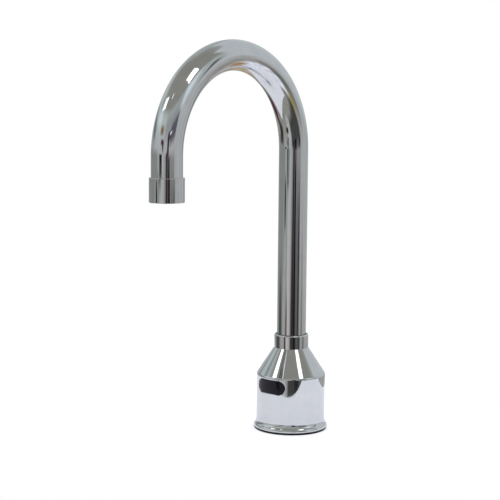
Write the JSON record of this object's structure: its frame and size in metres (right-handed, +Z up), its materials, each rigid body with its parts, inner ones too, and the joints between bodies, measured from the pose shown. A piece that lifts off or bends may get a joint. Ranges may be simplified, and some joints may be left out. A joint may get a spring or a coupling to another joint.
{
  "type": "deck-mounted sensor tap",
  "caption": "Touch-free deck-mounted tap with a flared base housing, infrared window, swivelling gooseneck spout and screw-on aerator.",
  "frame": {"origin": "centre of the base gasket's underside, on the deck", "axes": "+Z up along the body and the stem; the sensor window and the outlet face -Y; +X to the right when seen from the front"},
  "size_m": [0.0568, 0.1808, 0.2964],
  "materials": {
    "polished_chrome": "polished",
    "black_rubber": "matte",
    "turned_brass": "satin",
    "stainless_steel": "satin",
    "black_nylon": "satin",
    "white_acetal": "satin",
    "grey_acetal": "satin",
    "smoked_lens": "gloss",
    "circuit_board": "satin",
    "copper_wire": "satin",
    "clear_diode": "gloss",
    "lead_jacket": "satin"
  },
  "bodies": {
    "base": {"body_shell": "polished_chrome", "base_gasket": "black_rubber", "base_plate": "turned_brass", "plate_screws": "stainless_steel", "inlet_nipple": "turned_brass", "inlet_filter": "stainless_steel", "nipple_seal": "black_rubber", "valve_body": "grey_acetal", "diaphragm": "black_rubber", "valve_cover": "grey_acetal", "cover_screws": "stainless_steel", "core_tube": "stainless_steel", "plunger_spring": "stainless_steel", "coil_can": "stainless_steel", "coil_bobbin": "black_nylon", "coil_winding": "copper_wire", "riser_tube": "stainless_steel", "riser_seals": "black_rubber", "thrust_washer": "white_acetal", "swivel_bush": "black_nylon", "stop_screw": "stainless_steel", "sensor_window": "smoked_lens", "window_gasket": "black_rubber", "sensor_housing": "black_nylon", "circuit_board": "circuit_board", "board_components": "black_nylon", "optical_divider": "black_rubber", "sensor_bracket": "stainless_steel", "bracket_screws": "stainless_steel", "power_inlet": "black_nylon", "power_pin": "turned_brass", "sensor_lead": "lead_jacket", "valve_lead": "lead_jacket", "infrared_emitter": "clear_diode", "infrared_receiver": "clear_diode"},
    "spout": {"spout_tube": "polished_chrome", "spout_ferrule": "turned_brass", "ferrule_seals": "black_rubber", "outlet_nipple": "turned_brass"},
    "aerator_washer": {"aerator_washer": "black_rubber"},
    "aerator": {"aerator_shell": "polished_chrome", "aerator_cartridge": "white_acetal", "aerator_screens": "stainless_steel", "flow_regulator": "grey_acetal"},
    "plunger": {"plunger": "stainless_steel", "plunger_seal": "black_rubber"}
  },
  "joints": [
    {"name": "spout_swivel", "type": "hinge", "parent": "base", "child": "spout", "pos_m": [0, 0, 0.047], "axis": [0, 0, 1], "range_deg": [-60, 60]},
    {"name": "aerator_drop", "type": "slide", "parent": "spout", "child": "aerator_washer", "axis": [0, 0, -1], "range_m": [0, 0.008]},
    {"name": "aerator_unscrew", "type": "hinge", "parent": "aerator_washer", "child": "aerator", "pos_m": [0, -0.14, 0.1925], "axis": [0, 0, -1], "range_deg": [0, 2881]},
    {"name": "plunger_lift", "type": "slide", "parent": "base", "child": "plunger", "axis": [0, 0, 1], "range_m": [0, 0.0015], "stiffness_N_per_m": 150, "springref_m": -0.01, "deforming": ["plunger_spring"]}
  ],
  "couplings": [
    {"joint": "aerator_unscrew", "follows": "aerator_drop", "rad_per_m": 6283.2}
  ]
}
